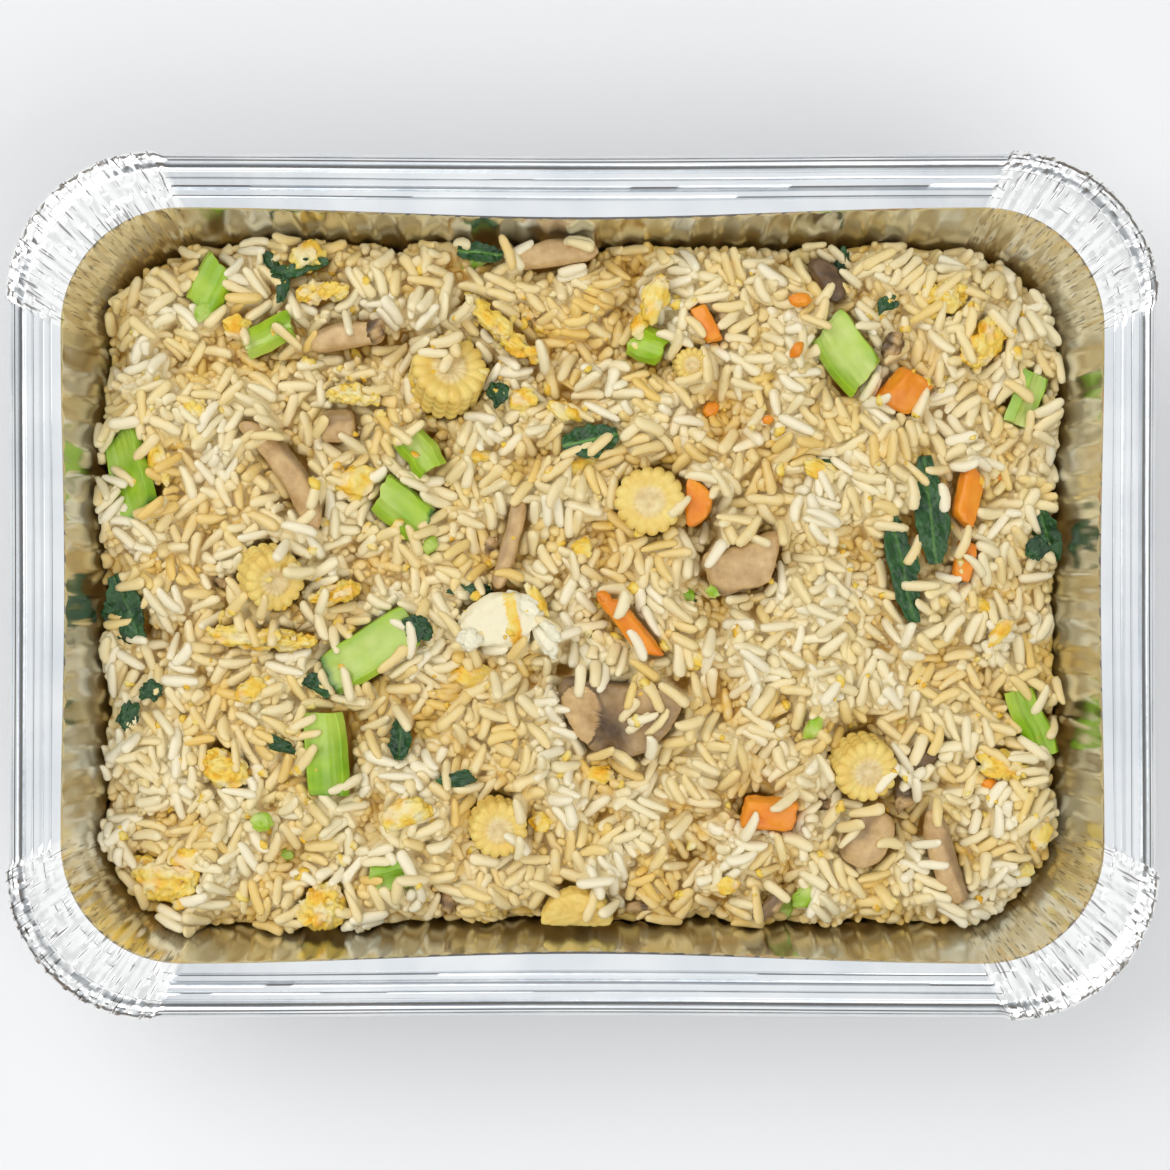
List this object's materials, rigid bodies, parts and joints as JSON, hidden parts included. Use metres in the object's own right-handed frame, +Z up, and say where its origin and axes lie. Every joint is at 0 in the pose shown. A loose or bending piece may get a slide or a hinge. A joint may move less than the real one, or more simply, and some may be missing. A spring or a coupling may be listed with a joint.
{
  "type": "foil tray meal",
  "caption": "Egg fried rice with baby corn, carrot, mushroom and pak choi in an open rectangular aluminium foil tray.",
  "frame": {"origin": "middle of the tray's underside, on the surface that it stands on", "axes": "+X along the tray's long side, +Y towards its far side, +Z up out of the tray"},
  "size_m": [0.252, 0.1898, 0.0462],
  "materials": {
    "foil": "bright, finely wrinkled at the corners",
    "rice": "moist and slightly oily cooked grains",
    "baby_corn": "moist, small kernels",
    "carrot": "moist cut faces",
    "mushroom": "moist, darker skin than flesh",
    "pak_choi_stalk": "glossy, veined",
    "pak_choi_leaf": "glossy, wrinkled",
    "egg": "soft scrambled curds"
  },
  "bodies": {
    "root": {"foil_tray": "foil", "fried_rice": "rice", "baby_corn_1": "baby_corn", "baby_corn_2": "baby_corn", "baby_corn_3": "baby_corn", "baby_corn_4": "baby_corn", "baby_corn_5": "baby_corn", "baby_corn_6": "baby_corn", "baby_corn_7": "baby_corn", "carrot_1": "carrot", "carrot_2": "carrot", "carrot_3": "carrot", "carrot_4": "carrot", "carrot_5": "carrot", "carrot_6": "carrot", "carrot_7": "carrot", "mushroom_1": "mushroom", "mushroom_2": "mushroom", "mushroom_3": "mushroom", "mushroom_4": "mushroom", "mushroom_5": "mushroom", "mushroom_6": "mushroom", "mushroom_7": "mushroom", "mushroom_8": "mushroom", "mushroom_9": "mushroom", "mushroom_10": "mushroom", "mushroom_11": "mushroom", "mushroom_12": "mushroom", "pak_choi_stalk_1": "pak_choi_stalk", "pak_choi_stalk_2": "pak_choi_stalk", "pak_choi_stalk_3": "pak_choi_stalk", "pak_choi_stalk_4": "pak_choi_stalk", "pak_choi_stalk_5": "pak_choi_stalk", "pak_choi_stalk_6": "pak_choi_stalk", "pak_choi_stalk_7": "pak_choi_stalk", "pak_choi_stalk_8": "pak_choi_stalk", "pak_choi_stalk_9": "pak_choi_stalk", "pak_choi_stalk_10": "pak_choi_stalk", "pak_choi_stalk_11": "pak_choi_stalk", "pak_choi_stalk_12": "pak_choi_stalk", "pak_choi_leaf_1": "pak_choi_leaf", "pak_choi_leaf_2": "pak_choi_leaf", "pak_choi_leaf_3": "pak_choi_leaf", "pak_choi_leaf_4": "pak_choi_leaf", "pak_choi_leaf_5": "pak_choi_leaf", "pak_choi_leaf_6": "pak_choi_leaf", "pak_choi_leaf_7": "pak_choi_leaf", "pak_choi_leaf_8": "pak_choi_leaf", "egg_1": "egg", "egg_2": "egg", "egg_3": "egg", "egg_4": "egg", "egg_5": "egg", "egg_6": "egg", "egg_7": "egg", "egg_8": "egg", "egg_9": "egg", "egg_10": "egg", "egg_11": "egg", "egg_12": "egg"}
  },
  "joints": []
}
